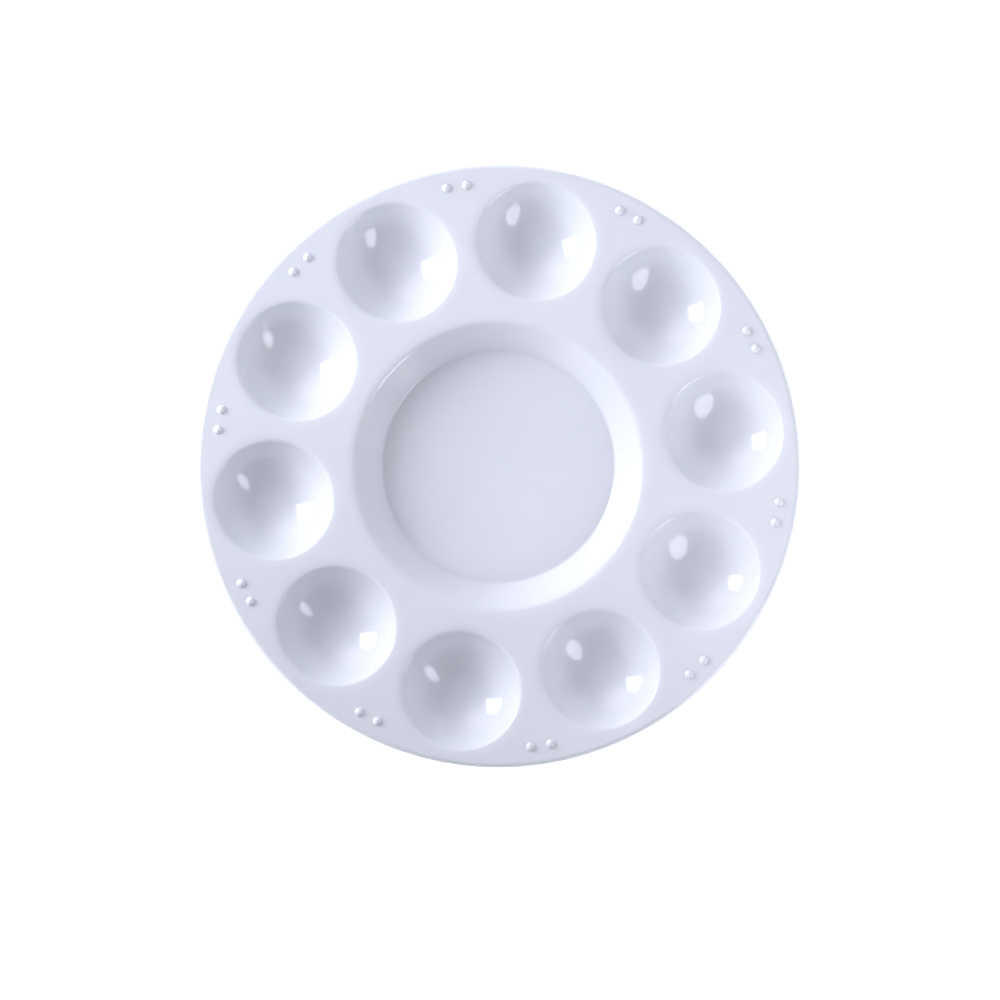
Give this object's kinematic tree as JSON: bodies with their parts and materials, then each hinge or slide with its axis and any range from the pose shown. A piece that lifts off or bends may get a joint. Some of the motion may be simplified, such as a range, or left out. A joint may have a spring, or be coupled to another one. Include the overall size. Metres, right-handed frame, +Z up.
{
  "type": "paint mixing palette",
  "caption": "Shallow round paint-mixing palette in glossy plastic: a ring of bowl-shaped wells around one larger flat-floored dish, with small domed pips near the rim.",
  "frame": {"origin": "centre of the flat underside of the centre dish, where the palette rests on a table", "axes": "+Z up, out of the wells; +X from the centre through the middle of one well, so that the pip pairs lie at 18 degrees to it and every 36 degrees on"},
  "size_m": [0.172, 0.172, 0.0126],
  "materials": {
    "white_plastic": "glossy injection-moulded polystyrene, white with a faint cool tint"
  },
  "bodies": {
    "root": {"palette_tray": "white_plastic"}
  },
  "joints": []
}
